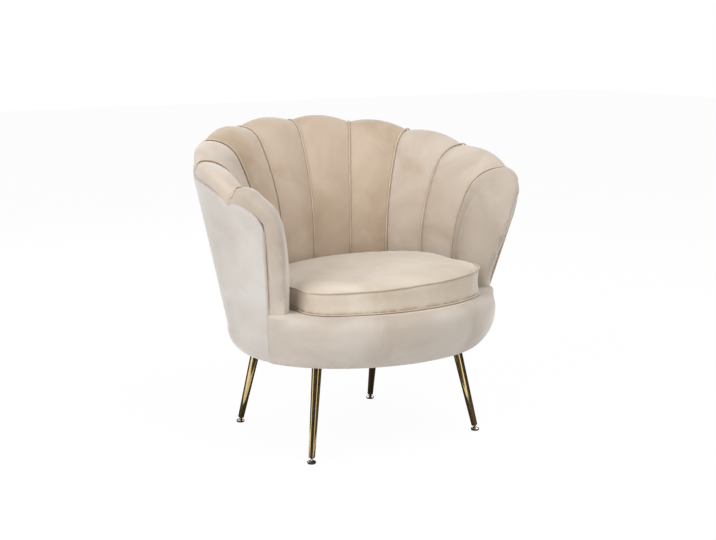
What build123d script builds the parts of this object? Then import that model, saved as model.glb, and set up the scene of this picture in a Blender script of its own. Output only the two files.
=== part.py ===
"""Shell-back tub armchair: a fluted velvet tub on a wooden frame, a loose cushion and splayed metal legs."""
import os
from collections import namedtuple
from math import atan, atan2, cos, degrees, radians, sin, sqrt, tan

from build123d import *

# Tub: seam lines on the seat outline, and the crest that they fan out to
SHELL_Y = -34.0
SEAT_A = 285.0
SEAT_B = 219.0
CREST_A = 400.0
CREST_B = 332.0
CREST_Z = 754.0
CREST_DROP = 94.0
FAN = 1.155
SEAM_ANGLES = (0.0, 21.0, 41.5, 63.0, 88.0)
ARM_ANGLE = 99.5

# Petal padding: thickness at the deck, fullness between seams, flare and rolled rim
DECK_Z = 350.0
BEND_Z = 440.0
FLARE_TURN = 25.0
PAD = 32.0
BULGE = 12.0
SCALLOP = 14.0
RIM_R = 18.0
ROLL_SWELL = 2.0
ARM_SWELL = 10.0
RIM_DROP = 42.0
ARM_RIM_DROP = 14.0
ARM_TUCK = 15.0
NOSE = 42.0
NOSE_INSET = 24.0
NOSE_DROP = 120.0

# Outer cover and front band
COVER = 4.0
BASE_Z = 233.0
BASE_OUT = 19.0
BASE_A = SEAT_A + BASE_OUT
BASE_BEHIND = 43.0
BASE_BACK = SEAT_B + BASE_BEHIND
BASE_AHEAD = 26.0
BASE_FRONT = SEAT_B + BASE_AHEAD
CORNER_Z = 296.0
CORNER_OUT = 56.0
CORNER_A = SEAT_A + CORNER_OUT
CORNER_DEEP = 57.0
CORNER_B = SEAT_B + CORNER_DEEP
FRONT_TUCK = 17.0
HEM = 12.0
HEM_T = 3.0
BAND = 10.0
BAND_Z = 318.0
BAND_SWELL = 43.0
BAND_LIP = 14.0
BAND_SAG = 11.0
BAND_ANGLES = (122.0, 141.0, 160.0)

# Wooden frame
BOARD_T = 18.0
BOARD_INSET = 3.0
RING_Z = 300.0
RING_T = 18.0
RING_W = 70.0
RING_OUT = 16.0
RIB_T = 16.0
RIB_FOOT = 40.0
PANEL = 5.0
RAIL_H = 20.0
RAIL_IN = 24.0

# Seat suspension and deck
WEB_W = 50.0
WEB_T = 2.0
WEB_PITCH = 100.0
DECK_COVER_T = 3.0
DECK_OUT = 16.0

# Seam piping
CORD_R = 2.3
CORD_GAP = 0.3
SEAM_SLANT = 58.0

# Loose seat cushion, measured from the tub's axis
CUSHION_FRONT = 240.0
CUSHION_BEHIND = 20.0
CUSHION_BACK = SEAT_B - CUSHION_BEHIND
CUSHION_CORNER = (257.0, -156.0)
CUSHION_WAIST = (240.0, -74.0)
CUSHION_HIP = (268.0, 40.0)
CUSHION_ROUND = 64.0
HIP_ROUND = 130.0
CUSHION_EDGE = 59.0
CUSHION_CROWN = 28.0
CUSHION_DRAW = 4.0
CUSHION_SKIN = 3.0
WELT_R = 2.4
ZIP_ARC = 60.0
ZIP_T = 1.2
ZIP_H = 14.0
SLIDER = (9.0, 3.0, 11.0)

# Legs: their angle round the base and inset from its edge, their tilt, and the heading they lean to
FRONT_LEG_ANGLE = 124.48
FRONT_LEG_IN = 57.6
BACK_LEG_ANGLE = 38.15
BACK_LEG_IN = 12.3
FRONT_HEADING = 132.0
BACK_HEADING = 20.0
FRONT_TILT = 13.6
BACK_TILT = 16.0
LEG_TOP_R = 12.0
LEG_END_R = 7.5
LEG_WALL = 1.5
PLATE_R = 15.0
PLATE_T = 4.0
STUD_R = 4.0
TEE_FLANGE_R = 9.0
TEE_FLANGE_T = 1.6
TEE_BARREL_R = 5.2

# Swivel glides under the legs
PAD_R = 9.4
PAD_T = 2.5
DISC_R = 10.4
DISC_EDGE = 2.2
BALL_R = 3.5
BALL_Z = 7.0
NECK_R = 2.2
COLLAR_R = 4.8
COLLAR_T = 2.0
COLLAR_GAP = 4.6
SCREW_R = 3.0
SCREW_L = 22.0
PLUG_L = 30.0

# Clearances
FIT = 0.1
SOFT_GAP = 0.5
RIM_GAP = 0.5
RAIL_GAP = 2.2

BOARD_Z = BASE_Z + HEM_T
BOARD_TOP = BOARD_Z + BOARD_T
RING_TOP = RING_Z + RING_T
WEB_TOP = RING_TOP + 2 * WEB_T
DECK_BASE = DECK_Z - DECK_COVER_T

Station = namedtuple("Station", "foot lean flare crest front")
nodes = {}


def station(angle):
    """One upright section of the tub: its foot, lean, flare and crest, and how far round to the front."""
    seat = radians(angle)
    crest = radians(angle * FAN)
    foot = Vector(SEAT_A * sin(seat), SHELL_Y + SEAT_B * cos(seat))
    lip = Vector(CREST_A * sin(crest), SHELL_Y + CREST_B * cos(crest))
    lean = lip - foot
    share = max(0.0, (abs(angle) - SEAM_ANGLES[3]) / (ARM_ANGLE - SEAM_ANGLES[3]))
    height = CREST_Z - CREST_DROP * (1 - cos(crest))
    flare = lean.length - ARM_TUCK * share**2
    return Station(foot, lean.normalized(), flare, height, share**2)


def upright(st):
    """The vertical plane of a station: local X runs outwards along its lean, local Y runs up."""
    return Plane(
        origin=(st.foot.X, st.foot.Y, 0),
        x_dir=(st.lean.X, st.lean.Y, 0),
        z_dir=(st.lean.Y, -st.lean.X, 0),
    )


def reach(st, half_width, back, front):
    """Distance from a station's foot, along its lean, to an oval about the tub's axis."""
    x, y = st.foot.X, st.foot.Y - SHELL_Y
    dx, dy = st.lean.X, st.lean.Y
    for depth in (back, front):
        a = (dx / half_width) ** 2 + (dy / depth) ** 2
        b = x * dx / half_width**2 + y * dy / depth**2
        c = (x / half_width) ** 2 + (y / depth) ** 2 - 1
        s = (-b + sqrt(b * b - a * c)) / a
        if y + s * dy > 0:
            break
    return s


def outline(plane, start, *steps):
    """A closed face: each step is a point to draw a line to, or a (through, end) pair for an arc."""
    edges = []
    here = start
    for step in steps + (start,):
        if isinstance(step[0], tuple):
            through, end = step
            edges.append(ThreePointArc(here, through, end))
        else:
            end = step
            edges.append(Line(here, end))
        here = end
    return plane * make_face(edges)


def on_arc(centre, radius, heading):
    """The point of an arc where its direction of travel is turned this far from straight up."""
    return (centre[0] - radius * cos(heading), centre[1] + radius * sin(heading))


def bend_z(st):
    """Height where the upright inner face starts to flare, lower where the crest is lower."""
    return DECK_Z + (BEND_Z - DECK_Z) * (st.crest - DECK_Z) / (CREST_Z - DECK_Z)


def roll(st, bulge, rise, rim_r, out=0.0):
    """Inner face, crest and rim of the padding, as arcs, moved off the face by out."""
    turn = radians(FLARE_TURN)
    run = st.flare + bulge
    height = st.crest + rise - bend_z(st)
    small = (run - tan(turn / 2) * height) / (cos(turn) - (1 - sin(turn)) * tan(turn / 2))
    large = (height - small * (1 - sin(turn))) / sin(turn)
    low = (large - bulge, bend_z(st))
    knee = on_arc(low, large, turn)
    high = (knee[0] + small * cos(turn), knee[1] - small * sin(turn))
    rim = (st.flare, st.crest + rise - rim_r)
    quarter = radians(90)
    return (
        (on_arc(low, large + out, turn / 2), on_arc(low, large + out, turn)),
        (on_arc(high, small + out, (turn + quarter) / 2), on_arc(high, small + out, quarter)),
        (on_arc(rim, rim_r + out, 1.5 * quarter), on_arc(rim, rim_r + out, 2 * quarter)),
    )


def rim_z(st):
    """Height of the seam where the petals meet the outer cover."""
    return st.crest - RIM_DROP - ARM_RIM_DROP * st.front


def back_of_pad(st, z):
    """How far out the flat back of the padding lies at this height."""
    share = (z - DECK_Z) / (rim_z(st) - DECK_Z)
    return PAD + share * (st.flare - RAIL_IN - PAD)


def cover_out(st, z):
    """How far out the straight run of the outer cover lies at this height."""
    corner = reach(st, CORNER_A, CORNER_B, CORNER_B) - FRONT_TUCK * st.front
    share = (z - CORNER_Z) / (rim_z(st) - CORNER_Z)
    return corner + share * (st.flare + RIM_R - corner)


def petal_section(angle, fullness, rise):
    """Padding of one petal on one station, from drawn in at a seam, 0, to full, 1."""
    st = station(angle)
    bulge = BULGE * fullness
    return outline(
        upright(st),
        (-bulge, DECK_Z),
        (-bulge, bend_z(st)),
        *roll(st, bulge, rise, RIM_R + (ROLL_SWELL + ARM_SWELL * st.front) * fullness),
        (st.flare + RIM_R, rim_z(st)),
        (st.flare - RAIL_IN, rim_z(st)),
        (PAD, DECK_Z),
    )


def petal(start, end, last_share):
    """A petal lofted from one seam towards the next, full after half of its width."""
    steps = 4
    sections = []
    for i in range(steps + 1):
        u = i / steps
        angle = start + (end - start) * u
        full = last_share * u
        sections.append(petal_section(angle, 4 * full * (1 - full), SCALLOP * 4 * u * (1 - u)))
    return loft(sections)


def arm_nose():
    """Rounded front of the right arm, from the arm's last station to its front face."""
    st = station(ARM_ANGLE)
    sections = []
    for share in (0, 30, 60, 90):
        shrink = 1 - cos(radians(share))
        inset = NOSE_INSET * shrink
        small = st._replace(flare=st.flare - inset, crest=st.crest - NOSE_DROP * shrink)
        sections.append(
            outline(
                upright(st).offset(NOSE * sin(radians(share))),
                (inset - BULGE, DECK_Z),
                (inset - BULGE, bend_z(small)),
                *roll(small, BULGE - inset, 0, RIM_R + ROLL_SWELL + ARM_SWELL),
                (small.flare + RIM_R, rim_z(small)),
                (cover_out(st, DECK_Z) - inset, DECK_Z),
            )
        )
    return loft(sections)


def oval(half_width, back, front):
    """A flat oval about the tub's axis, with its own depths behind and in front."""
    edges = [
        EllipticalCenterArc((0, SHELL_Y), half_width, back, 0, arc_size=180),
        EllipticalCenterArc((0, SHELL_Y), half_width, front, 180, arc_size=180),
    ]
    return make_face(edges)


def slab(face, low, high):
    """A flat sheet or board between two heights."""
    return extrude(Pos(0, 0, low) * face, amount=high - low, dir=(0, 0, 1))


def both_sides(name, shape):
    """Keep a right-hand piece and its mirror image as two nodes."""
    nodes[name + "_right"] = shape
    nodes[name + "_left"] = mirror(shape, about=Plane.YZ)


def group(name, shapes):
    """Keep like pieces as separate solids of one node."""
    solids = []
    for shape in shapes:
        solids += shape.solids()
    nodes[name] = Compound(children=solids)


# Petals: ten padded flutes, numbered from the left arm, the outer two wrapped round the arm fronts
bounds = SEAM_ANGLES + (ARM_ANGLE,)
half_count = len(SEAM_ANGLES)
for index in range(half_count):
    if index < half_count - 1:
        shape = petal(bounds[index], bounds[index + 1], 1.0)
    else:
        shape = petal(bounds[index], bounds[index + 1], 0.5) + arm_nose()
    nodes[f"petal_{half_count + 1 + index:02d}"] = shape
    nodes[f"petal_{half_count - index:02d}"] = mirror(shape, about=Plane.YZ)

# Every half petal a station, from the left arm round the back to the right arm
right_angles = [(bounds[i] + bounds[i + 1]) / 2 for i in range(half_count)] + list(bounds[1:])
all_angles = sorted([-a for a in right_angles] + [0.0] + right_angles)


def cover_section(angle):
    """Outer cover on one station: hem under the board, rounded foot and straight side."""
    st = station(angle)
    low = reach(st, BASE_A, BASE_BACK, BASE_FRONT)
    corner = cover_out(st, CORNER_Z)
    top = rim_z(st) - RIM_GAP
    edge = cover_out(st, top)
    slope = (edge - corner) / (top - CORNER_Z)
    sag = max(0.5 * (corner - low - slope * (CORNER_Z - BASE_Z)), 1.0)
    through = ((low + corner) / 2 + sag, (BASE_Z + CORNER_Z) / 2 - sag / 3)
    inner = (through[0] - COVER, through[1] + HEM_T / 2)
    return outline(
        upright(st),
        (low - HEM, BASE_Z),
        (low, BASE_Z),
        (through, (corner, CORNER_Z)),
        (edge, top),
        (edge - COVER, top),
        (corner - COVER, CORNER_Z),
        (inner, (low - COVER / 2, BOARD_Z)),
        (low - HEM, BOARD_Z),
    )


nodes["outer_cover"] = loft([cover_section(a) for a in all_angles])

# Front band: padded border round the front of the base, between the two front seams
arm = station(ARM_ANGLE)
arm_low = reach(arm, BASE_A, BASE_BACK, BASE_FRONT)
seam_foot = arm.foot + arm.lean * arm_low
fan_y = arm.foot.Y - arm.foot.X * arm.lean.Y / arm.lean.X
seam_angle = degrees(atan2(seam_foot.X / BASE_A, (seam_foot.Y - SHELL_Y) / BASE_FRONT))


def band_station(angle):
    """An upright section of the base, on a fan of planes that takes in both front seams."""
    turn = radians(angle)
    foot = Vector(BASE_A * sin(turn), SHELL_Y + BASE_FRONT * cos(turn))
    lean = (foot - Vector(0, fan_y)).normalized()
    return Station(foot, lean, 0, 0, 0)


def band_sizes(angle):
    """How far a band section swells, how far out its lip is, and its sag, easing at the seams."""
    st = band_station(angle)
    if abs(180 - angle) > abs(180 - BAND_ANGLES[0]) + 1:
        swell = cover_out(arm, BAND_Z) - arm_low
        return swell, cover_out(arm, DECK_BASE) - arm_low, 1.0
    swell = reach(st, BASE_A + BAND_SWELL, BASE_BACK, BASE_FRONT + BAND_SWELL)
    lip = reach(st, BASE_A + BAND_LIP, BASE_BACK, BASE_FRONT + BAND_LIP)
    return swell, lip, BAND_SAG


def band_section(angle):
    """Front band on one section: hem, swelling face and rounded top edge, hollow behind."""
    st = band_station(angle)
    swell, lip, sag = band_sizes(angle)
    low = ((0 + swell) / 2 + sag, (BASE_Z + BAND_Z) / 2 - sag / 3)
    high = ((swell + lip) / 2 + sag / 2, (BAND_Z + DECK_BASE) / 2 + sag / 3)
    return outline(
        upright(st),
        (-HEM, BASE_Z),
        (0, BASE_Z),
        (low, (swell, BAND_Z)),
        (high, (lip, DECK_BASE)),
        (lip - BAND, DECK_BASE),
        (swell - BAND, BAND_Z),
        (-COVER / 2, BOARD_Z),
        (-HEM, BOARD_Z),
    )


half_band = [seam_angle, *BAND_ANGLES]
band_angles = half_band + [180.0] + [360.0 - a for a in reversed(half_band)]
nodes["front_band"] = loft([band_section(a) for a in band_angles])

# Seam piping: a cord in each groove between petals, and one down each front seam


def groove_offset(angle, neighbour):
    """How far a cord's centre stands off a seam, so that it clears the petals on both sides."""
    step = 1.0
    before, after = station(angle - step), station(angle + step)
    along = (after.foot + after.lean * after.flare / 2) - (before.foot + before.lean * before.flare / 2)
    st = station(angle)
    slant = abs(atan2(st.lean.dot(along), st.lean.cross(along).length))
    width = (station(neighbour).foot - st.foot).length
    return (CORD_R + CORD_GAP) / cos(slant + atan(4 * BULGE / width))


def seam_cord(angle, neighbour):
    """One cord, up the inner face of a seam and over the crest to the rim seam."""
    st = station(angle)
    out = groove_offset(angle, neighbour)
    plane = upright(st)
    here = (-out, DECK_Z + CORD_GAP)
    path = [Line(here, (-out, bend_z(st)))]
    here = (-out, bend_z(st))
    for through, end in roll(st, 0, 0, RIM_R, out):
        path.append(ThreePointArc(here, through, end))
        here = end
    wire = plane * Wire(path)
    start = Plane(origin=wire @ 0, z_dir=(0, 0, 1))
    return sweep(start * Circle(CORD_R), path=wire)


cords = []
for index, angle in enumerate(SEAM_ANGLES):
    cord = seam_cord(angle, bounds[index - 1] if index else bounds[1])
    cords.append(cord)
    if angle:
        cords.append(mirror(cord, about=Plane.YZ))
group("petal_piping", cords)

seam_out = (CORD_R + CORD_GAP) / cos(radians(SEAM_SLANT))
seam_low = upright(arm).from_local_coords((cover_out(arm, BOARD_TOP) + seam_out, BOARD_TOP, 0))
seam_high = upright(arm).from_local_coords((cover_out(arm, rim_z(arm)) + seam_out, rim_z(arm), 0))
seam_line = Vector(seam_high) - Vector(seam_low)
seam_plane = Plane(origin=seam_low, z_dir=seam_line)
front_cord = extrude(seam_plane * Circle(CORD_R), amount=seam_line.length)
group("front_piping", [front_cord, mirror(front_cord, about=Plane.YZ)])

# Frame: base board, seat ring, ribs under every seam, front ribs, panel and rim rail
board_oval = (BASE_A - BOARD_INSET, BASE_BACK - BOARD_INSET, BASE_FRONT - BOARD_INSET)
ring_oval = (SEAT_A + RING_OUT, SEAT_B + RING_OUT, BASE_FRONT)
ring_hole = [size - RING_W for size in ring_oval]
nodes["seat_ring"] = slab(oval(*ring_oval) - oval(*ring_hole), RING_Z, RING_TOP)


def rib_section(angle):
    """A rib on one station: a foot under the seat ring and an upright behind the panel."""
    st = station(angle)
    low = reach(st, BASE_A, BASE_BACK, BASE_FRONT) - COVER / 2
    corner = cover_out(st, CORNER_Z) - COVER
    top = rim_z(st) - RAIL_H - SOFT_GAP
    share = (BOARD_TOP - BOARD_Z) / (CORNER_Z - BOARD_Z)
    behind = PANEL + 2 * SOFT_GAP
    return outline(
        upright(st),
        (-RIB_FOOT, BOARD_TOP),
        (low + share * (corner - low) - SOFT_GAP, BOARD_TOP),
        (corner - SOFT_GAP, CORNER_Z),
        (cover_out(st, top) - COVER - SOFT_GAP, top),
        (back_of_pad(st, top) + behind, top),
        (back_of_pad(st, RING_TOP) + behind, RING_TOP),
        (back_of_pad(st, RING_TOP) + behind, RING_Z),
        (-RIB_FOOT, RING_Z),
    )


def rib(angle, before, after):
    """A rib cut from board, standing between two stations a board's thickness apart."""
    st = station(angle)
    across = (station(angle + 1).foot - st.foot).length
    half = RIB_T / 2 / across
    return loft([rib_section(angle - before * half), rib_section(angle + after * half)], ruled=True)


for index, angle in enumerate(SEAM_ANGLES):
    if angle:
        both_sides(f"rib_{index}", rib(angle, 1, 1))
    else:
        nodes["rib_centre"] = rib(angle, 1, 1)
both_sides("arm_post", rib(ARM_ANGLE - 0.3, 2, 0))


def front_rib(angle):
    """A short rib behind the front band, under the seat ring."""
    sections = []
    turn = degrees(RIB_T / 2 / BASE_FRONT)
    for a in (angle - turn, angle + turn):
        swell = band_sizes(angle)[0]
        rise = (swell - BAND + COVER / 2) / (BAND_Z - BOARD_Z)
        edges = [rise * (z - BOARD_Z) - COVER / 2 - SOFT_GAP for z in (BOARD_TOP, RING_Z)]
        sections.append(
            outline(
                upright(band_station(a)),
                (-RING_W, BOARD_TOP),
                (edges[0], BOARD_TOP),
                (edges[1], RING_Z),
                (-RING_W, RING_Z),
            )
        )
    return loft(sections, ruled=True)


rib_angles = (*BAND_ANGLES[1:], 180.0, *[360 - a for a in BAND_ANGLES[1:]])
group("front_ribs", [front_rib(a) for a in rib_angles])


def panel_section(angle):
    """Bent plywood behind the petals, from the seat ring's level to the rim rail."""
    st = station(angle)
    top = rim_z(st) - RAIL_H - SOFT_GAP
    low, high = back_of_pad(st, RING_TOP) + SOFT_GAP, back_of_pad(st, top) + SOFT_GAP
    return outline(
        upright(st), (low, RING_TOP), (low + PANEL, RING_TOP), (high + PANEL, top), (high, top)
    )


def rail_section(angle):
    """Rim rail under the rolled tops of the petals."""
    st = station(angle)
    inner = st.flare - RAIL_IN + RAIL_GAP
    outer = cover_out(st, rim_z(st) - RAIL_H) - COVER - RAIL_GAP
    low, high = rim_z(st) - RAIL_H, rim_z(st) - RAIL_GAP
    return outline(upright(st), (inner, low), (outer, low), (outer, high), (inner, high))


nodes["inner_panel"] = loft([panel_section(a) for a in all_angles])
nodes["rim_rail"] = loft([rail_section(a) for a in all_angles])

# Suspension and deck: webbing both ways over the ring, a foam pad and the deck cloth
strap_a, strap_back, strap_front = [size - RING_W / 3 for size in ring_oval]
lengthwise = []
crosswise = []
for step in (-1.5, -0.5, 0.5, 1.5):
    x = step * WEB_PITCH
    share = sqrt(1 - ((abs(x) + WEB_W / 2) / strap_a) ** 2)
    span = (strap_back + strap_front) * share
    middle = SHELL_Y + (strap_back - strap_front) * share / 2
    lengthwise.append(slab(Pos(x, middle) * Rectangle(WEB_W, span), RING_TOP, RING_TOP + WEB_T))
for step in (-1.0, 0.0, 1.0):
    y = step * WEB_PITCH
    depth = strap_back if y > 0 else strap_front
    share = sqrt(1 - ((abs(y) + WEB_W / 2) / depth) ** 2)
    strap = Pos(0, SHELL_Y + y) * Rectangle(2 * strap_a * share, WEB_W)
    crosswise.append(slab(strap, RING_TOP + WEB_T, WEB_TOP))
group("webbing_lengthwise", lengthwise)
group("webbing_crosswise", crosswise)
deck_oval = (SEAT_A + DECK_OUT, SEAT_B + DECK_OUT)
nodes["deck_pad"] = slab(oval(*deck_oval, BASE_FRONT - COVER), WEB_TOP, DECK_BASE)
nodes["deck_cover"] = slab(oval(*deck_oval, BASE_FRONT + BAND_LIP - COVER), DECK_BASE, DECK_Z)

# Legs: tapered tubes cut level under a round plate, whose stud screws into a tee nut in the board
Leg = namedtuple("Leg", "name foot heading tilt")
PLATE_Z = BASE_Z - PLATE_T


def splayed_leg(name, side, depth, angle, inset, heading, tilt):
    """A leg on the right, side 1, or the left, side -1, splayed out from its place under the base."""
    splay = tan(radians(tilt)) * (PLATE_Z - BALL_Z)
    foot_x = (BASE_A - inset) * sin(radians(angle)) + splay * sin(radians(heading))
    foot_y = SHELL_Y + (depth - inset) * cos(radians(angle)) + splay * cos(radians(heading))
    return Leg(name, (side * foot_x, foot_y), side * heading, tilt)


front_leg = (BASE_FRONT, FRONT_LEG_ANGLE, FRONT_LEG_IN, FRONT_HEADING, FRONT_TILT)
back_leg = (BASE_BACK, BACK_LEG_ANGLE, BACK_LEG_IN, BACK_HEADING, BACK_TILT)
legs = (
    splayed_leg("front_right", 1, *front_leg),
    splayed_leg("front_left", -1, *front_leg),
    splayed_leg("back_right", 1, *back_leg),
    splayed_leg("back_left", -1, *back_leg),
)
COLLAR_TOP = COLLAR_GAP + COLLAR_T
LEG_START = COLLAR_TOP + FIT


def leg_plane(leg):
    """A plane at the glide's ball, with its normal up the leg's axis."""
    tilt, heading = radians(leg.tilt), radians(leg.heading)
    up = Vector(-sin(tilt) * sin(heading), -sin(tilt) * cos(heading), cos(tilt))
    across = Vector(cos(heading), -sin(heading), 0)
    return Plane(origin=(leg.foot[0], leg.foot[1], BALL_Z), x_dir=across, z_dir=up)


def leg_length(leg):
    """Length of the tube along its axis, up to the underside of its plate."""
    return (PLATE_Z - BALL_Z) / cos(radians(leg.tilt)) - LEG_START


def tube_radius(leg, along):
    """Outer radius of the tapered tube, this far along from its lower end."""
    return LEG_END_R + (LEG_TOP_R - LEG_END_R) * along / leg_length(leg)


def cone(leg, low, high, inset):
    """A tapered plug along the leg's axis, inset from the tube's outside."""
    plane = leg_plane(leg)
    sections = []
    for along in (low, high):
        ring = Circle(tube_radius(leg, along) - inset)
        sections.append(plane.offset(LEG_START + along) * ring)
    return loft(sections, ruled=True)


leg_tops = []
plates = []
tee_nuts = []
plugs = []
for leg in legs:
    plane = leg_plane(leg)
    over = 2 * LEG_TOP_R
    length = leg_length(leg)
    tube = cone(leg, 0, length + over, 0) - cone(leg, -FIT, length + over + FIT, LEG_WALL)
    top = plane.from_local_coords((0, 0, LEG_START + length))
    below = Pos(top.X, top.Y, PLATE_Z - length) * Box(6 * over, 6 * over, 2 * length)
    nodes[f"leg_{leg.name}"] = tube & below
    leg_tops.append((top.X, top.Y))
    place = Pos(top.X, top.Y, 0)
    plate = place * slab(Circle(PLATE_R), PLATE_Z, BASE_Z)
    plates.append(plate + place * slab(Circle(STUD_R), BASE_Z, BOARD_TOP + TEE_FLANGE_T))
    nut = slab(Circle(TEE_FLANGE_R), BOARD_TOP, BOARD_TOP + TEE_FLANGE_T)
    nut += slab(Circle(TEE_BARREL_R), BOARD_Z, BOARD_TOP)
    tee_nuts.append(place * (nut - slab(Circle(STUD_R + FIT), BOARD_Z, BOARD_TOP + TEE_FLANGE_T)))
    plug = cone(leg, 0, PLUG_L, LEG_WALL + FIT)
    bore = plane.offset(LEG_START) * Circle(SCREW_R + FIT)
    plugs.append(plug - extrude(bore, amount=PLUG_L))
group("leg_plates", plates)
group("tee_nuts", tee_nuts)
group("leg_plugs", plugs)

nut_holes = [Pos(x, y) * Circle(TEE_BARREL_R + FIT) for x, y in leg_tops]
stud_holes = [Pos(x, y) * Circle(STUD_R + SOFT_GAP) for x, y in leg_tops]
nodes["base_board"] = slab(oval(*board_oval) - nut_holes, BOARD_Z, BOARD_TOP)
dust_oval = (BASE_A - HEM - 1, BASE_BACK - HEM - 1, BASE_FRONT - HEM - 2)
nodes["dust_cover"] = slab(oval(*dust_oval) - stud_holes, BASE_Z, BOARD_Z)
for hole in stud_holes:
    nodes["outer_cover"] -= slab(hole, BASE_Z, BOARD_Z)

# Glides: a threaded stud with a ball end in each leg, a metal disc that swivels on it, a black pad
for leg in legs:
    plane = leg_plane(leg)
    pin = slab(Circle(NECK_R), 0, COLLAR_GAP) + slab(Circle(COLLAR_R), COLLAR_GAP, COLLAR_TOP)
    pin += slab(Circle(SCREW_R), COLLAR_TOP, COLLAR_TOP + SCREW_L) + Sphere(BALL_R)
    nodes[f"glide_stud_{leg.name}"] = plane * pin
    profile = outline(
        Plane.XZ,
        (0, PAD_T),
        (DISC_R, PAD_T),
        (DISC_R, PAD_T + DISC_EDGE),
        (BALL_R + 1.6, BALL_Z + 1.0),
        (0, BALL_Z + 1.0),
    )
    disc = revolve(profile, axis=Axis.Z) - Pos(0, 0, BALL_Z) * Sphere(BALL_R + 2 * FIT)
    place = Pos(leg.foot[0], leg.foot[1], 0)
    nodes[f"glide_disc_{leg.name}"] = place * disc
    nodes[f"glide_pad_{leg.name}"] = place * slab(Circle(PAD_R), 0, PAD_T)

# Loose cushion: crowned cover over a foam core, piped top and bottom, with a zip along the back
CUSHION_LOW = DECK_Z + SOFT_GAP
CUSHION_WELT = CUSHION_LOW + CUSHION_EDGE


def cushion_plan(inset):
    """The cushion's outline: arcs front and back, and sides drawn in between the arm fronts."""
    right = [CUSHION_CORNER, CUSHION_WAIST, CUSHION_HIP]
    left = [(-x, y) for x, y in reversed(right)]
    edges = [ThreePointArc(left[-1], (0, -CUSHION_FRONT), right[0])]
    edges += [Line(right[0], right[1]), Line(right[1], right[2])]
    edges += [ThreePointArc(right[2], (0, CUSHION_BACK), left[0])]
    edges += [Line(left[0], left[1]), Line(left[1], left[2])]
    face = make_face(edges)
    corners = face.vertices().sort_by(Axis.Y)
    face = fillet(corners[2:], HIP_ROUND)
    corners = face.vertices().sort_by(Axis.Y)
    face = fillet(corners[:2], CUSHION_ROUND)
    return Pos(0, SHELL_Y) * (offset(face, amount=-inset) if inset else face)


def cushion_body(inset):
    """Drawn-in box sides and a crowned top, over a flat underside."""
    plan = cushion_plan(inset)
    middle = Vector(0, SHELL_Y + (CUSHION_BACK - CUSHION_FRONT) / 2)
    low, high = CUSHION_LOW + inset, CUSHION_WELT - inset / 2
    waist = cushion_plan(inset + CUSHION_DRAW)
    side = loft([Pos(0, 0, low) * plan, Pos(0, 0, (low + high) / 2) * waist, Pos(0, 0, high) * plan])
    crown = []
    for size, rise in ((1.0, 0.0), (0.88, 0.56), (0.62, 0.92), (0.3, 1.0)):
        ring = Pos(middle.X, middle.Y) * scale(Pos(-middle.X, -middle.Y) * plan, by=size)
        crown.append(Pos(0, 0, high + rise * (CUSHION_CROWN - inset / 2)) * ring)
    return side + loft(crown)


def welt(z):
    """A piped edge that runs once round the cushion."""
    path = Pos(0, 0, z) * cushion_plan(-WELT_R - CORD_GAP).wire()
    start = Plane(origin=path @ 0, z_dir=path % 0)
    return sweep(start * Circle(WELT_R), path=path)


nodes["cushion_cover"] = cushion_body(0) - cushion_body(CUSHION_SKIN)
nodes["cushion_foam"] = cushion_body(CUSHION_SKIN + SOFT_GAP)
nodes["cushion_welt_top"] = welt(CUSHION_WELT)
nodes["cushion_welt_bottom"] = welt(CUSHION_LOW + WELT_R)

zip_z = CUSHION_LOW + CUSHION_EDGE / 2
back_sag = CUSHION_BACK - CUSHION_HIP[1]
back_r = (CUSHION_HIP[0] ** 2 + back_sag**2) / (2 * back_sag)
zip_centre = (0, SHELL_Y + CUSHION_BACK - back_r)
zip_in = back_r - CUSHION_DRAW + 2 * CORD_GAP


def back_arc(inner, outer, start, sweep_angle):
    """A flat piece of ring about the centre of the cushion's back arc."""
    ring = Pos(*zip_centre) * (Circle(outer) - Circle(inner))
    cut = [(0, 0)]
    for turn in (start, start + sweep_angle / 2, start + sweep_angle):
        cut.append((2 * outer * cos(radians(turn)), 2 * outer * sin(radians(turn))))
    return ring & (Pos(*zip_centre) * make_face(Polyline(*cut, close=True)))


zip_start = 90 - ZIP_ARC / 2
tape = back_arc(zip_in, zip_in + ZIP_T, zip_start, ZIP_ARC)
nodes["cushion_zip"] = slab(tape, zip_z - ZIP_H / 2, zip_z + ZIP_H / 2)
slider_turn = degrees(SLIDER[0] / zip_in)
slider_in = zip_in + ZIP_T + CORD_GAP
slider = back_arc(slider_in, slider_in + SLIDER[1], zip_start + slider_turn / 2, slider_turn)
nodes["zip_slider"] = slab(slider, zip_z - SLIDER[2] / 2, zip_z + SLIDER[2] / 2)

os.makedirs("parts", exist_ok=True)
for name, shape in nodes.items():
    export_step(shape, f"parts/{name}.step")
print(len(nodes), "nodes; feet", [(leg.name, round(leg.foot[0], 4), round(leg.foot[1], 4)) for leg in legs])
print("front seam from", Vector(seam_low), "to", Vector(seam_high), "zip centre", zip_centre)
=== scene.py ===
"""Shell-back tub armchair in champagne velvet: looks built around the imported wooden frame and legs."""
import math

import bmesh
import bpy
import numpy as np
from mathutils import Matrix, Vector
from mathutils.kdtree import KDTree


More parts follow.
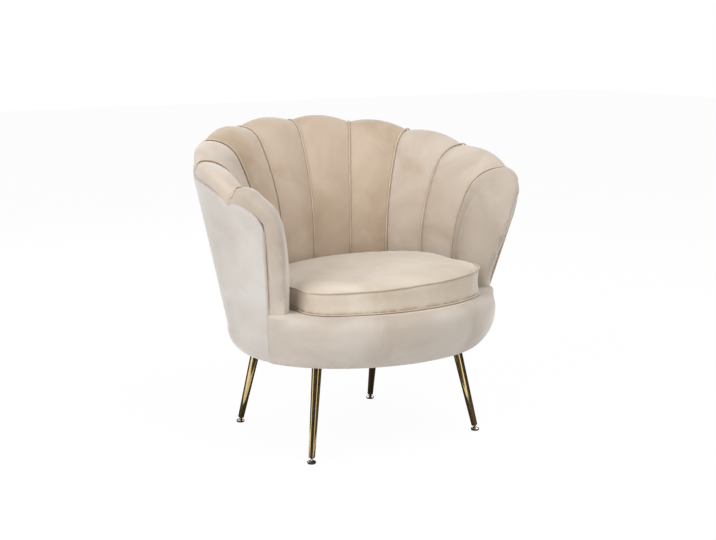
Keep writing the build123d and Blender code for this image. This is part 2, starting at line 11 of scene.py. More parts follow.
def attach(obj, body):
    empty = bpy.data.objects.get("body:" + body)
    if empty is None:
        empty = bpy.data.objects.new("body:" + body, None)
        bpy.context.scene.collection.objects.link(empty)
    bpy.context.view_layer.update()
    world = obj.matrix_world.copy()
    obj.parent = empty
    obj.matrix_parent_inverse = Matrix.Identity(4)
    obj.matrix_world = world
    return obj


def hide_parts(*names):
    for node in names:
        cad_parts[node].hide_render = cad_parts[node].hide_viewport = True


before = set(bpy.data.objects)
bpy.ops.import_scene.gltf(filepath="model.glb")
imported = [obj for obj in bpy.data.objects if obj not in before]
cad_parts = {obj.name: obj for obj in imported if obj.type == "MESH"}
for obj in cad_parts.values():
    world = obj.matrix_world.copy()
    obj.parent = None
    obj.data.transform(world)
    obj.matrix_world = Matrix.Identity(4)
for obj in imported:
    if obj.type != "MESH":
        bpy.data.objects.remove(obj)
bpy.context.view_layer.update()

# Wooden frame: sawn ribs, posts and rails in pale timber, on a board that carries the legs.
# A thin bent plywood panel lines the ribs. None of it is seen once the chair is covered.


def mottle_group():
    """Two tones mixed by stretched noise, for grain, polish marks and mould texture."""
    group = bpy.data.node_groups.new("mottle", "ShaderNodeTree")
    face = group.interface
    face.new_socket("Deep", in_out="INPUT", socket_type="NodeSocketColor")
    face.new_socket("Light", in_out="INPUT", socket_type="NodeSocketColor")
    face.new_socket("Stretch", in_out="INPUT", socket_type="NodeSocketVector")
    face.new_socket("Color", in_out="OUTPUT", socket_type="NodeSocketColor")
    face.new_socket("Value", in_out="OUTPUT", socket_type="NodeSocketFloat")
    nodes, link = group.nodes, group.links.new
    given, out = nodes.new("NodeGroupInput"), nodes.new("NodeGroupOutput")
    place = nodes.new("ShaderNodeTexCoord")
    drawn = nodes.new("ShaderNodeVectorMath")
    drawn.operation = "MULTIPLY"
    link(place.outputs["Object"], drawn.inputs[0])
    link(given.outputs["Stretch"], drawn.inputs[1])
    noise = nodes.new("ShaderNodeTexNoise")
    noise.inputs["Scale"].default_value = 1.0
    noise.inputs["Detail"].default_value = 4.0
    noise.inputs["Distortion"].default_value = 0.3
    link(drawn.outputs["Vector"], noise.inputs["Vector"])
    clear = nodes.new("ShaderNodeMapRange")
    clear.inputs["From Min"].default_value = 0.3
    clear.inputs["From Max"].default_value = 0.7
    link(noise.outputs["Fac"], clear.inputs["Value"])
    shade = nodes.new("ShaderNodeMix")
    shade.data_type = "RGBA"
    link(clear.outputs["Result"], shade.inputs["Factor"])
    link(given.outputs["Deep"], shade.inputs["A"])
    link(given.outputs["Light"], shade.inputs["B"])
    link(shade.outputs["Result"], out.inputs["Color"])
    link(clear.outputs["Result"], out.inputs["Value"])
    return group


mottle = mottle_group()


def finish(name, deep, light, stretch, rough, metallic=0.0, relief=0.0003):
    """A finish of two near tones, with roughness and relief that follow the same marks."""
    made = bpy.data.materials.new(name)
    made.use_nodes = True
    nodes, link = made.node_tree.nodes, made.node_tree.links.new
    shader = nodes["Principled BSDF"]
    shader.inputs["Metallic"].default_value = metallic
    marks = nodes.new("ShaderNodeGroup")
    marks.node_tree = mottle
    marks.inputs["Deep"].default_value = (*deep, 1.0)
    marks.inputs["Light"].default_value = (*light, 1.0)
    marks.inputs["Stretch"].default_value = stretch
    polish = nodes.new("ShaderNodeMapRange")
    polish.inputs["To Min"].default_value = rough[0]
    polish.inputs["To Max"].default_value = rough[1]
    bump = nodes.new("ShaderNodeBump")
    bump.inputs["Strength"].default_value = 0.25
    bump.inputs["Distance"].default_value = relief
    link(marks.outputs["Color"], shader.inputs["Base Color"])
    link(marks.outputs["Value"], polish.inputs["Value"])
    link(polish.outputs["Result"], shader.inputs["Roughness"])
    link(marks.outputs["Value"], bump.inputs["Height"])
    link(bump.outputs["Normal"], shader.inputs["Normal"])
    return made


def coat(node, made):
    """Give a solid that stays as it is its finish."""
    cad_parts[node].data.materials.clear()
    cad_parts[node].data.materials.append(made)


upright_timber = finish("upright_timber", (0.50, 0.34, 0.19), (0.66, 0.49, 0.31), (90, 90, 7), (0.6, 0.8))
bent_timber = finish("bent_timber", (0.48, 0.33, 0.19), (0.64, 0.48, 0.31), (14, 14, 110), (0.6, 0.8))
plywood = finish("plywood", (0.52, 0.38, 0.23), (0.68, 0.53, 0.36), (9, 70, 70), (0.55, 0.75))
sides = [f"rib_{number}_{side}" for number in range(1, 5) for side in ("left", "right")]
for node in [*sides, "rib_centre", "arm_post_left", "arm_post_right", "front_ribs"]:
    coat(node, upright_timber)
for node in ("rim_rail", "seat_ring"):
    coat(node, bent_timber)
for node in ("inner_panel", "base_board"):
    coat(node, plywood)

# Seat webbing: broad elastic bands stapled to the seat ring, lengthwise over crosswise.
# They are knitted in brown with a ribbed weave.


def weave_group():
    """Threads crossing at right angles: a mask of thread tops."""
    group = bpy.data.node_groups.new("plain_weave", "ShaderNodeTree")
    face = group.interface
    face.new_socket("Threads", in_out="INPUT", socket_type="NodeSocketFloat")
    face.new_socket("Mask", in_out="OUTPUT", socket_type="NodeSocketFloat")
    nodes, link = group.nodes, group.links.new
    given, out = nodes.new("NodeGroupInput"), nodes.new("NodeGroupOutput")
    place = nodes.new("ShaderNodeTexCoord")
    rows = []
    for direction in ("X", "Y"):
        wave = nodes.new("ShaderNodeTexWave")
        wave.bands_direction = direction
        wave.inputs["Distortion"].default_value = 0.4
        link(place.outputs["Object"], wave.inputs["Vector"])
        link(given.outputs["Threads"], wave.inputs["Scale"])
        rows.append(wave)
    crossed = nodes.new("ShaderNodeMath")
    crossed.operation = "MULTIPLY"
    link(rows[0].outputs["Fac"], crossed.inputs[0])
    link(rows[1].outputs["Fac"], crossed.inputs[1])
    link(crossed.outputs["Value"], out.inputs["Mask"])
    return group


plain_weave = weave_group()


def woven(name, deep, light, threads):
    """Cloth of crossed threads, with painted shade between them: the deep tone in the gaps, the light
    tone on the thread tops.
    """
    made = bpy.data.materials.new(name)
    made.use_nodes = True
    nodes, link = made.node_tree.nodes, made.node_tree.links.new
    shader = nodes["Principled BSDF"]
    shader.inputs["Roughness"].default_value = 0.85
    cloth = nodes.new("ShaderNodeGroup")
    cloth.node_tree = plain_weave
    cloth.inputs["Threads"].default_value = threads
    shade = nodes.new("ShaderNodeMix")
    shade.data_type = "RGBA"
    shade.inputs["A"].default_value = (*deep, 1.0)
    shade.inputs["B"].default_value = (*light, 1.0)
    bump = nodes.new("ShaderNodeBump")
    bump.inputs["Strength"].default_value = 0.4
    bump.inputs["Distance"].default_value = 0.0004
    link(cloth.outputs["Mask"], shade.inputs["Factor"])
    link(shade.outputs["Result"], shader.inputs["Base Color"])
    link(cloth.outputs["Mask"], bump.inputs["Height"])
    link(bump.outputs["Normal"], shader.inputs["Normal"])
    return made


webbing_cloth = woven("webbing_cloth", (0.09, 0.06, 0.04), (0.20, 0.14, 0.09), 160.0)
for node in ("webbing_lengthwise", "webbing_crosswise"):
    coat(node, webbing_cloth)

# Velvet: a short, dense cut pile over the whole tub and the cushion.
# Strokes of the hand leave soft patches where the pile lies another way, and its edges catch light.


def pile_group():
    """Colour, roughness and height of brushed pile, from slow patches and the fine nap."""
    group = bpy.data.node_groups.new("brushed_pile", "ShaderNodeTree")
    face = group.interface
    face.new_socket("Deep", in_out="INPUT", socket_type="NodeSocketColor")
    face.new_socket("Light", in_out="INPUT", socket_type="NodeSocketColor")
    face.new_socket("Patch Scale", in_out="INPUT", socket_type="NodeSocketFloat")
    face.new_socket("Color", in_out="OUTPUT", socket_type="NodeSocketColor")
    face.new_socket("Roughness", in_out="OUTPUT", socket_type="NodeSocketFloat")
    face.new_socket("Height", in_out="OUTPUT", socket_type="NodeSocketFloat")
    nodes, link = group.nodes, group.links.new
    given = nodes.new("NodeGroupInput")
    out = nodes.new("NodeGroupOutput")
    place = nodes.new("ShaderNodeTexCoord")
    patches = nodes.new("ShaderNodeTexNoise")
    patches.inputs["Detail"].default_value = 3.0
    patches.inputs["Roughness"].default_value = 0.55
    patches.inputs["Distortion"].default_value = 0.6
    link(place.outputs["Object"], patches.inputs["Vector"])
    link(given.outputs["Patch Scale"], patches.inputs["Scale"])
    nap = nodes.new("ShaderNodeTexNoise")
    nap.inputs["Scale"].default_value = 900.0
    nap.inputs["Detail"].default_value = 2.0
    link(place.outputs["Object"], nap.inputs["Vector"])
    spread = nodes.new("ShaderNodeMapRange")
    spread.inputs["From Min"].default_value = 0.3
    spread.inputs["From Max"].default_value = 0.72
    link(patches.outputs["Fac"], spread.inputs["Value"])
    blend = nodes.new("ShaderNodeMath")
    blend.operation = "MULTIPLY_ADD"
    blend.inputs[1].default_value = 0.14
    link(nap.outputs["Fac"], blend.inputs[0])
    link(spread.outputs["Result"], blend.inputs[2])
    shade = nodes.new("ShaderNodeMix")
    shade.data_type = "RGBA"
    link(blend.outputs["Value"], shade.inputs["Factor"])
    link(given.outputs["Deep"], shade.inputs["A"])
    link(given.outputs["Light"], shade.inputs["B"])
    link(shade.outputs["Result"], out.inputs["Color"])
    rough = nodes.new("ShaderNodeMapRange")
    rough.inputs["To Min"].default_value = 0.92
    rough.inputs["To Max"].default_value = 0.74
    link(spread.outputs["Result"], rough.inputs["Value"])
    link(rough.outputs["Result"], out.inputs["Roughness"])
    link(nap.outputs["Fac"], out.inputs["Height"])
    return group


brushed_pile = pile_group()


def velvet(name, deep, light, patch_scale):
    """A copy of the one velvet in its own colours, with painted light and shade, and the sheen of upright
    pile.
    """
    made = bpy.data.materials.new(name)
    made.use_nodes = True
    nodes, link = made.node_tree.nodes, made.node_tree.links.new
    shader = nodes["Principled BSDF"]
    shader.inputs["Sheen Weight"].default_value = 0.6
    shader.inputs["Sheen Roughness"].default_value = 0.4
    shader.inputs["Sheen Tint"].default_value = (1.0, 0.98, 0.96, 1.0)
    shader.inputs["Specular IOR Level"].default_value = 0.15
    pile = nodes.new("ShaderNodeGroup")
    pile.node_tree = brushed_pile
    pile.inputs["Deep"].default_value = (*deep, 1.0)
    pile.inputs["Light"].default_value = (*light, 1.0)
    pile.inputs["Patch Scale"].default_value = patch_scale
    bump = nodes.new("ShaderNodeBump")
    bump.inputs["Strength"].default_value = 0.12
    bump.inputs["Distance"].default_value = 0.0006
    link(pile.outputs["Height"], bump.inputs["Height"])
    link(pile.outputs["Color"], shader.inputs["Base Color"])
    link(pile.outputs["Roughness"], shader.inputs["Roughness"])
    link(bump.outputs["Normal"], shader.inputs["Normal"])
    return made


# One velvet throughout, made in lit and shaded copies whose colours hold painted light and shade: back
# petals darker and warmer with painted shade, wing petals lighter and cooler with painted sheen, arm
# petals with their own painted shading, outer cover lighter and greyer with painted light, front band
# darker with painted shade, seat lighter with painted top light, cords lighter with painted light.
back_velvet_painted_shade = velvet("back_velvet_painted_shade", (0.375, 0.28, 0.197), (0.50, 0.405, 0.317), 7.0)
wing_velvet_painted_sheen = velvet("wing_velvet_painted_sheen", (0.43, 0.348, 0.272), (0.56, 0.492, 0.427), 7.0)
arm_velvet_painted_shading = velvet("arm_velvet_painted_shading", (0.372, 0.31, 0.25), (0.488, 0.428, 0.368), 6.0)
side_velvet_painted_light = velvet("side_velvet_painted_light", (0.43, 0.386, 0.348), (0.54, 0.508, 0.476), 6.0)
front_velvet_painted_shade = velvet("front_velvet_painted_shade", (0.395, 0.338, 0.282), (0.505, 0.455, 0.402), 6.0)
seat_velvet_painted_light = velvet("seat_velvet_painted_light", (0.48, 0.40, 0.315), (0.60, 0.53, 0.445), 8.0)
cord_velvet_painted_light = velvet("cord_velvet_painted_light", (0.46, 0.36, 0.27), (0.56, 0.46, 0.36), 20.0)


def dress(piece, finish):
    """Give a piece its one finish."""
    piece.data.materials.clear()
    piece.data.materials.append(finish)


# Petals: ten padded flutes of velvet over foam, sewn side by side and rolled over the rim.
# Each is pulled down along its seams, so it swells between them, most of all on the outer roll.

SEAT_A, SEAT_B = 0.285, 0.219
CREST_A, CREST_B = 0.400, 0.332
CREST_Z, CREST_DROP = 0.754, 0.094
FAN = 1.155
SEAM_ANGLES = (0.0, 21.0, 41.5, 63.0, 88.0)
ARM_ANGLE = 99.5
ARM_TUCK = 0.015
TUB_Y = -0.034
DECK_Z = 0.350
RIM_R, RIM_DROP, ARM_RIM_DROP = 0.018, 0.042, 0.014
SCALLOP = 0.014


def stations(angles):
    """Foot, lean, flare, crest height and front share of the tub's upright sections."""
    angles = np.asarray(angles, float)
    seat, crest = np.radians(angles), np.radians(angles * FAN)
    foot = np.stack([SEAT_A * np.sin(seat), TUB_Y + SEAT_B * np.cos(seat)], -1)
    lip = np.stack([CREST_A * np.sin(crest), TUB_Y + CREST_B * np.cos(crest)], -1)
    lean = lip - foot
    length = np.linalg.norm(lean, axis=-1)
    share = np.clip((np.abs(angles) - SEAM_ANGLES[3]) / (ARM_ANGLE - SEAM_ANGLES[3]), 0, None) ** 2
    height = CREST_Z - CREST_DROP * (1 - np.cos(crest))
    return foot, lean / length[..., None], length - ARM_TUCK * share, height, share


def angle_of(points, low, high):
    """The station angle, between two limits, whose upright plane holds each point."""
    low = np.full(len(points), low, float)
    high = np.full(len(points), high, float)
    for _ in range(30):
        middle = (low + high) / 2
        foot, lean = stations(middle)[:2]
        off = points[:, :2] - foot
        beyond = lean[:, 1] * off[:, 0] - lean[:, 0] * off[:, 1] > 0
        low = np.where(beyond, middle, low)
        high = np.where(beyond, high, middle)
    return (low + high) / 2


def coords(mesh):
    """Vertex places of a mesh as an array."""
    flat = np.empty(len(mesh.vertices) * 3, np.float32)
    mesh.vertices.foreach_get("co", flat)
    return flat.reshape(-1, 3).astype(float)


def normals(mesh):
    """Vertex normals of a mesh as an array."""
    flat = np.empty(len(mesh.vertices) * 3, np.float32)
    mesh.vertex_normals.foreach_get("vector", flat)
    return flat.reshape(-1, 3).astype(float)


def place(mesh, points):
    """Put a mesh's vertices at these places."""
    mesh.vertices.foreach_set("co", points.astype(np.float32).ravel())
    mesh.update()


def new_piece(name, bm, smooth=True):
    """Put a finished shape into the scene as a piece."""
    for face in bm.faces:
        face.smooth = smooth
    mesh = bpy.data.meshes.new(name)
    bm.to_mesh(mesh)
    bm.free()
    piece = bpy.data.objects.new(name, mesh)
    bpy.context.scene.collection.objects.link(piece)
    return piece


def merged(node):
    """The form of a solid, with its faces joined along their edges."""
    bm = bmesh.new()
    bm.from_mesh(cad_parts[node].data)
    bmesh.ops.remove_doubles(bm, verts=bm.verts, dist=1e-6)
    return bm


def padding(name, node, voxel):
    """A new piece of padding in the form of a solid, remeshed in even quads and smooth."""
    piece = new_piece(name, merged(node))
    remesh = piece.modifiers.new("even", "REMESH")
    remesh.mode = "VOXEL"
    remesh.voxel_size = voxel
    remesh.use_smooth_shade = True
    settle(piece)
    return piece


def settle(piece):
    """Make a piece's modifiers part of its mesh."""
    shown = bpy.context.evaluated_depsgraph_get()
    mesh = bpy.data.meshes.new_from_object(piece.evaluated_get(shown))
    piece.modifiers.clear()
    old = piece.data
    piece.data = mesh
    bpy.data.meshes.remove(old)
    mesh.name = piece.name


def relax(piece, rounds, free=None):
    """Even out the surface, everywhere or only at the free vertices."""
    bm = bmesh.new()
    bm.from_mesh(piece.data)
    bm.verts.ensure_lookup_table()
    chosen = bm.verts if free is None else [bm.verts[i] for i in np.flatnonzero(free)]
    axes = {"use_axis_x": True, "use_axis_y": True, "use_axis_z": True}
    for _ in range(rounds):
        bmesh.ops.smooth_vert(bm, verts=chosen, factor=0.5, **axes)
    bm.to_mesh(piece.data)
    bm.free()
    piece.data.update()


PRESSURE, PUFF_FRAMES = 4.0, 20


def puff(piece, held, limit):
    """Blow the cover up like stuffed cloth, held at its seams, and keep the swelling within a limit."""
    start = coords(piece.data)
    group = piece.vertex_groups.new(name="held")
    group.add([int(i) for i in np.flatnonzero(held)], 1.0, "ADD")
    cloth = piece.modifiers.new("stuffing", "CLOTH")
    cloth.settings.quality = 5
    cloth.settings.mass = 0.3
    cloth.settings.tension_stiffness = 15
    cloth.settings.compression_stiffness = 15
    cloth.settings.bending_stiffness = 0.5
    cloth.settings.use_pressure = True
    cloth.settings.uniform_pressure_force = PRESSURE
    cloth.settings.vertex_group_mass = "held"
    cloth.settings.effector_weights.gravity = 0.0
    cloth.collision_settings.use_collision = False
    cloth.point_cache.frame_start, cloth.point_cache.frame_end = 1, PUFF_FRAMES
    scene = bpy.context.scene
    for step in range(1, PUFF_FRAMES + 1):
        scene.frame_set(step)
        bpy.context.view_layer.update()
    settle(piece)
    scene.frame_set(1)
    moved = coords(piece.data) - start
    far = np.linalg.norm(moved, axis=1)
    kept = limit * np.tanh(far / limit) / np.maximum(far, 1e-9)
    place(piece.data, start + moved * kept[:, None])
    piece.vertex_groups.clear()


def mirrored(piece, name):
    """The same piece for the other side of the chair."""
    bm = bmesh.new()
    bm.from_mesh(piece.data)
    bmesh.ops.scale(bm, vec=(-1, 1, 1), verts=bm.verts)
    bmesh.ops.reverse_faces(bm, faces=bm.faces)
    return new_piece(name, bm)


CORNER_ROUND = 0.030
RIM_PER_DEGREE = 0.0081
SEAM_SHARE = 0.035
FACING_SINK = 0.03
SWEEP = 0.016
ARM_RISE = 0.011
RISE_ANGLES, RISE_SHARES = (55.0, 82.0, 92.0), (0.0, 1.0, 1.0, 0.6)
SEAM_FILL, SEAM_REACH = 0.0026, 0.011
SEAT_PER_DEGREE = 0.0044
SEAM_FLUSH, FRONT_FILL, BACK_FILL, DEEPEST_FILL = 0.001, 0.024, 0.004, 0.035
BACK_CLEAR = 0.006
petal_bounds = SEAM_ANGLES + (ARM_ANGLE,)


def sweep_share(angles):
    """How much of the last seam's backward sweep reaches each angle."""
    near = np.clip(1 - np.abs(np.abs(angles) - SEAM_ANGLES[4]) / (ARM_ANGLE - SEAM_ANGLES[4]), 0, 1)
    return near * near * (3 - 2 * near)


def swept_back(angles, lean, share):
    """Moves on the outer roll, where the seam nearest the arm runs backwards as it goes down."""
    backwards = np.stack([-lean[:, 1], lean[:, 0]], -1)
    return backwards * (SWEEP * sweep_share(angles) * share**1.5)[:, None]


def seam_rise(angles):
    """How much higher the rim seam lies on the arms than the frame's rim."""
    return ARM_RISE * np.interp(np.abs(angles), (*RISE_ANGLES, ARM_ANGLE), RISE_SHARES)


def corner_drop(angles):
    """How far the rim seam drops where it turns down into the front seam."""
    short = CORNER_ROUND - np.clip((ARM_ANGLE - np.abs(angles)) * RIM_PER_DEGREE, 0, CORNER_ROUND)
    return CORNER_ROUND - np.sqrt(CORNER_ROUND**2 - short**2)


BASE_Z, CORNER_Z = 0.233, 0.296
BASE_A, BASE_BACK, BASE_FRONT = 0.304, 0.262, 0.245
CORNER_A, CORNER_B = 0.341, 0.276
FRONT_TUCK = 0.017


def reach_to(foot, lean, half_width, back, front):
    """Distance from each foot, along its lean, to an oval about the tub's axis."""
    x, y = foot[..., 0], foot[..., 1] - TUB_Y
    dx, dy = lean[..., 0], lean[..., 1]
    found = []
    for depth in (back, front):
        a = (dx / half_width) ** 2 + (dy / depth) ** 2
        b = x * dx / half_width**2 + y * dy / depth**2
        c = (x / half_width) ** 2 + (y / depth) ** 2 - 1
        found.append((-b + np.sqrt(b * b - a * c)) / a)
    return np.where(y + found[0] * dy > 0, found[0], found[1])


def side_run(angles):
    """Foot of the cover, its widest corner, its rim reach and its rim height on each station."""
    foot, lean, flare, crest, front = stations(angles)
    low = reach_to(foot, lean, BASE_A, BASE_BACK, BASE_FRONT)
    corner = reach_to(foot, lean, CORNER_A, CORNER_B, CORNER_B) - FRONT_TUCK * front
    return low, corner, flare + RIM_R, crest - RIM_DROP - ARM_RIM_DROP * front


arm_foot, arm_lean = [v[0] for v in stations([ARM_ANGLE])[:2]]
arm_low, arm_corner, arm_edge, arm_rim = [v[0] for v in side_run([ARM_ANGLE])]
arm_slope = (arm_edge - arm_corner) / (arm_rim - CORNER_Z)


def fill_front_seam(points):
    """Bring the arm front out to the edge of the outer cover along the front seam."""
    off = points[:, :2] - arm_foot
    ahead = off @ np.array([arm_lean[1], -arm_lean[0]])
    short = arm_corner + arm_slope * (points[:, 2] - CORNER_Z) - SEAM_FLUSH - off @ arm_lean
    near = np.clip(1 - np.where(ahead > 0, ahead / FRONT_FILL, -ahead / BACK_FILL), 0, 1)
    near *= (short > 0) & (short < DEEPEST_FILL) & (points[:, 2] < arm_rim)
    points[:, :2] += arm_lean * (short * near * near)[:, None]
    return points


BAND_Z, DECK_BASE = 0.318, 0.347
BAND_LIP = 0.014
BAND_START, BAND_FULL = 4.0, 128.0
FLOW, FLOW_DEEPEST, FLOW_FADE, FLOW_UNDER = 0.05, 0.03, 0.01, 0.0008
seam_foot = arm_foot + arm_lean * arm_low
fan_y = arm_foot[1] - arm_foot[0] * arm_lean[1] / arm_lean[0]
seam_angle = math.degrees(math.atan2(seam_foot[0] / BASE_A, (seam_foot[1] - TUB_Y) / BASE_FRONT))


def band_run(angles):
    """Foot, outward way, fullness and top edge of the front band round the base."""
    turn = np.radians(angles)
    foot = np.stack([BASE_A * np.sin(turn), TUB_Y + BASE_FRONT * np.cos(turn)], -1)
    lean = foot - np.array([0, fan_y])
    lean /= np.linalg.norm(lean, axis=1)[:, None]
    past_arm = 180 - seam_angle - np.abs(180 - angles) - BAND_START
    ease = np.clip(past_arm / (BAND_FULL - seam_angle - BAND_START), 0, 1)
    ease = ease * ease * (3 - 2 * ease)
    end_lip = arm_corner + arm_slope * (DECK_BASE - CORNER_Z) - arm_low
    full_lip = reach_to(foot, lean, BASE_A + BAND_LIP, BASE_BACK, BASE_FRONT + BAND_LIP)
    return foot, lean, ease, end_lip + ease * (full_lip - end_lip)


def flow_into_band(points):
    """Let the foot of the arm front come out to the top edge of the front band."""
    foot, lean, _, lip = band_run(np.linspace(seam_angle, 180.0, 120))
    heading = np.degrees(np.arctan2(lean[:, 0], -lean[:, 1]))
    off = points[:, :2] - np.array([0, fan_y])
    far = np.hypot(off[:, 0], off[:, 1])
    turned = np.degrees(np.arctan2(off[:, 0], -off[:, 1]))
    edge_far = np.hypot(foot[:, 0], foot[:, 1] - fan_y) + lip
    edge = np.interp(turned, heading[::-1], edge_far[::-1])
    short = np.clip(edge - FLOW_UNDER - far, 0, None)
    near = np.clip(1 - (points[:, 2] - DECK_BASE) / FLOW, 0, 1) ** 2
    near *= np.clip((FLOW_DEEPEST - short) / FLOW_FADE, 0, 1)
    near *= (turned < heading[0]) & (turned > heading[-1])
    points[:, :2] += off / far[:, None] * (short * near)[:, None]
    return points


PETAL_VOXEL, PETAL_SWELL = 0.004, 0.006
ANGLE_MARGIN, NOSE_ANGLE = 3, 140
RIM_BELOW, CORNER_REACH = 0.03, 0.025
ARM_BEHIND, ARM_OUTER, FACING_BEHIND = 4, 0.55, 0.3
DECK_HOLD, OUTWARD = 0.012, 0.3
petals = []
for index in range(len(SEAM_ANGLES)):
    start, end = petal_bounds[index], petal_bounds[index + 1]
    arm = index == len(SEAM_ANGLES) - 1
    node = f"petal_{len(SEAM_ANGLES) + 1 + index:02d}"
    piece = padding("flute_" + node[-2:], node, PETAL_VOXEL)
    relax(piece, 3)
    points = coords(piece.data)
    angle = angle_of(points, start - ANGLE_MARGIN, NOSE_ANGLE if arm else end + ANGLE_MARGIN)
    foot, lean, flare, crest, front = stations(np.minimum(angle, ARM_ANGLE))
    across = np.clip((angle - start) / (end - start), 0, 1)
    reach = np.einsum("ij,ij->i", points[:, :2] - foot, lean)
    rim = crest - RIM_DROP - ARM_RIM_DROP * front
    outer = np.clip((reach - flare) / RIM_R, 0, 1)
    below = np.clip((crest - points[:, 2]) / (crest - rim), 0, 1)
    points[:, 2] += seam_rise(angle) * outer * below * (points[:, 2] > rim - RIM_BELOW)
    near_rim = np.clip(1 - np.abs(points[:, 2] - rim - seam_rise(angle)) / CORNER_REACH, 0, 1)
    points[:, 2] -= corner_drop(angle) * outer * near_rim * (angle < ARM_ANGLE)
    down = np.clip((crest + SCALLOP - points[:, 2]) / RIM_DROP, 0, 1)
    points[:, :2] += swept_back(angle, lean, outer * down)
    sunk = np.clip(1 - (points[:, 2] - DECK_Z) / FACING_SINK, 0, 1)
    sunk *= angle > ARM_ANGLE - FACING_BEHIND
    points[:, 2] -= FACING_SINK * sunk
    place(piece.data, points)
    if arm:
        free = (angle > ARM_ANGLE - ARM_BEHIND) & (reach > ARM_OUTER * flare)
        relax(piece, 40, free & (points[:, 2] > DECK_Z + FACING_SINK))
        place(piece.data, fill_front_seam(coords(piece.data)))
        relax(piece, 10, (angle > ARM_ANGLE + FACING_BEHIND) & (points[:, 2] > DECK_Z + 0.01))
        place(piece.data, flow_into_band(coords(piece.data)))
        points = coords(piece.data)
    facing = np.einsum("ij,ij->i", normals(piece.data)[:, :2], lean)
    held = (across < SEAM_SHARE) | ((across > 1 - SEAM_SHARE) & (not arm))
    held |= (facing > OUTWARD) & (points[:, 2] < rim + BACK_CLEAR) & (angle < ARM_ANGLE - 0.5)
    held |= points[:, 2] < DECK_Z + DECK_HOLD
    puff(piece, held, PETAL_SWELL)
    relax(piece, 2)
    width = SEAT_PER_DEGREE + (RIM_PER_DEGREE - SEAT_PER_DEGREE) * np.clip(reach / flare, 0, 1)
    aside = np.minimum(angle - start, 90 if arm else end - angle) * width
    filled = SEAM_FILL * np.clip(1 - aside / SEAM_REACH, 0, 1) ** 2
    place(piece.data, coords(piece.data) + normals(piece.data) * filled[:, None])
    petals.append((piece, node))
    other = f"{len(SEAM_ANGLES) - index:02d}"
    petals.append((mirrored(piece, "flute_" + other), "petal_" + other))
# Each petal takes the velvet copy with its own painted light and shade: painted sheen on petals 02, 03,
# 08 and 09, painted shading on the arm petals, painted shade on the back petals.
painted_light_by_petal = {"01": arm_velvet_painted_shading, "10": arm_velvet_painted_shading}
painted_light_by_petal.update(dict.fromkeys(("02", "03", "08", "09"), wing_velvet_painted_sheen))
for piece, node in petals:
    dress(piece, painted_light_by_petal.get(node[-2:], back_velvet_painted_shade))
    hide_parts(node)
    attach(piece, "frame")

# Outer cover: one plain velvet panel round the back and both sides, tacked under the base board.
# Its top edge is sewn to the petals in shallow arches, and turns a round corner into each front seam.

HEM = 0.012
HEM_END, FOOT_END = 0.05, 0.30
RIM_ARCH = 0.011
EDGE_TUCK, TUCK_REACH, TUCK_TURN, FRONT_SHARE = 0.0035, 0.012, 1.2, 0.3
PANEL_T = 0.004
CORD_PROUD = 0.0018


def petal_share(angles):
    """How far each angle lies across its own petal, from one seam to the next."""
    turned = np.abs(angles)
    share = np.zeros_like(turned)
    for first, last in zip(petal_bounds[:-1], petal_bounds[1:]):
        inside = (turned >= first) & (turned <= last)
        share = np.where(inside, (turned - first) / (last - first), share)
    return share


def grid_points(columns, rows):
    """A flat grid of faces to be laid on a surface, with each vertex's share across and up."""
    bm = bmesh.new()
    bmesh.ops.create_grid(bm, x_segments=columns, y_segments=rows, size=1.0)
    flat = np.array([v.co[:2] for v in bm.verts])
    return bm, flat[:, 0], (flat[:, 1] + 1) / 2


def move_to(bm, points):
    """Put the vertices of an open shape at these places."""
    for vert, point in zip(bm.verts, points):
        vert.co = point


def thicken(piece, thickness):
    """Give a sheet its thickness, with every face turned outwards."""
    wall = piece.modifiers.new("cloth_and_wadding", "SOLIDIFY")
    wall.thickness = thickness
    wall.offset = -1.0
    settle(piece)
    bm = bmesh.new()
    bm.from_mesh(piece.data)
    bmesh.ops.recalc_face_normals(bm, faces=bm.faces)
    bm.to_mesh(piece.data)
    bm.free()


bm, turn, up = grid_points(220, 48)
angle = turn * ARM_ANGLE
foot, lean = stations(angle)[:2]
low, corner, edge, rim = side_run(angle)
slope = (edge - corner) / (rim - CORNER_Z)
share = petal_share(np.abs(angle) + SWEEP * sweep_share(angle) / RIM_PER_DEGREE)
top = rim + seam_rise(angle) + RIM_ARCH * 4 * share * (1 - share) - corner_drop(angle)
hem = np.clip(up / HEM_END, 0, 1)
bow = np.clip((up - HEM_END) / (FOOT_END - HEM_END), 0, 1)
side = np.clip((up - FOOT_END) / (1 - FOOT_END), 0, 1)
sag = np.maximum(0.5 * (corner - low - slope * (CORNER_Z - BASE_Z)), 0.001)
knee_out, knee_z = low + (corner - low) * 0.5 + 2 * sag, (BASE_Z + CORNER_Z) / 2 - 2 * sag / 3
out = low - HEM * (1 - hem)
out += 2 * bow * (1 - bow) * (knee_out - low) + bow**2 * (corner - low)
height = BASE_Z + 2 * bow * (1 - bow) * (knee_z - BASE_Z) + bow**2 * (CORNER_Z - BASE_Z)
height += side * (top - CORNER_Z)
out += slope * (height - CORNER_Z) * (side > 0)
near_top = np.clip(1 - (top - height) / TUCK_REACH, 0, 1)
near_front = np.clip(1 - (ARM_ANGLE - np.abs(angle)) / TUCK_TURN, 0, 1)
out -= EDGE_TUCK * np.maximum(near_top, FRONT_SHARE * near_front) ** 2
panel_points = np.column_stack([foot + lean * out[:, None], height])
front_edge = np.flatnonzero((turn > 0.9999) & (up >= HEM_END))
rim_edge = np.flatnonzero((up > 0.9999) & (np.abs(turn) < 0.9999) & (angle > SEAM_ANGLES[4]))
seam_line = [*front_edge[np.argsort(up[front_edge])], *rim_edge[np.argsort(-turn[rim_edge])]]
cord_line = panel_points[seam_line]
cord_line[:, :2] += lean[seam_line] * CORD_PROUD
move_to(bm, panel_points)
outer_panel = new_piece("outer_panel", bm)
thicken(outer_panel, PANEL_T)
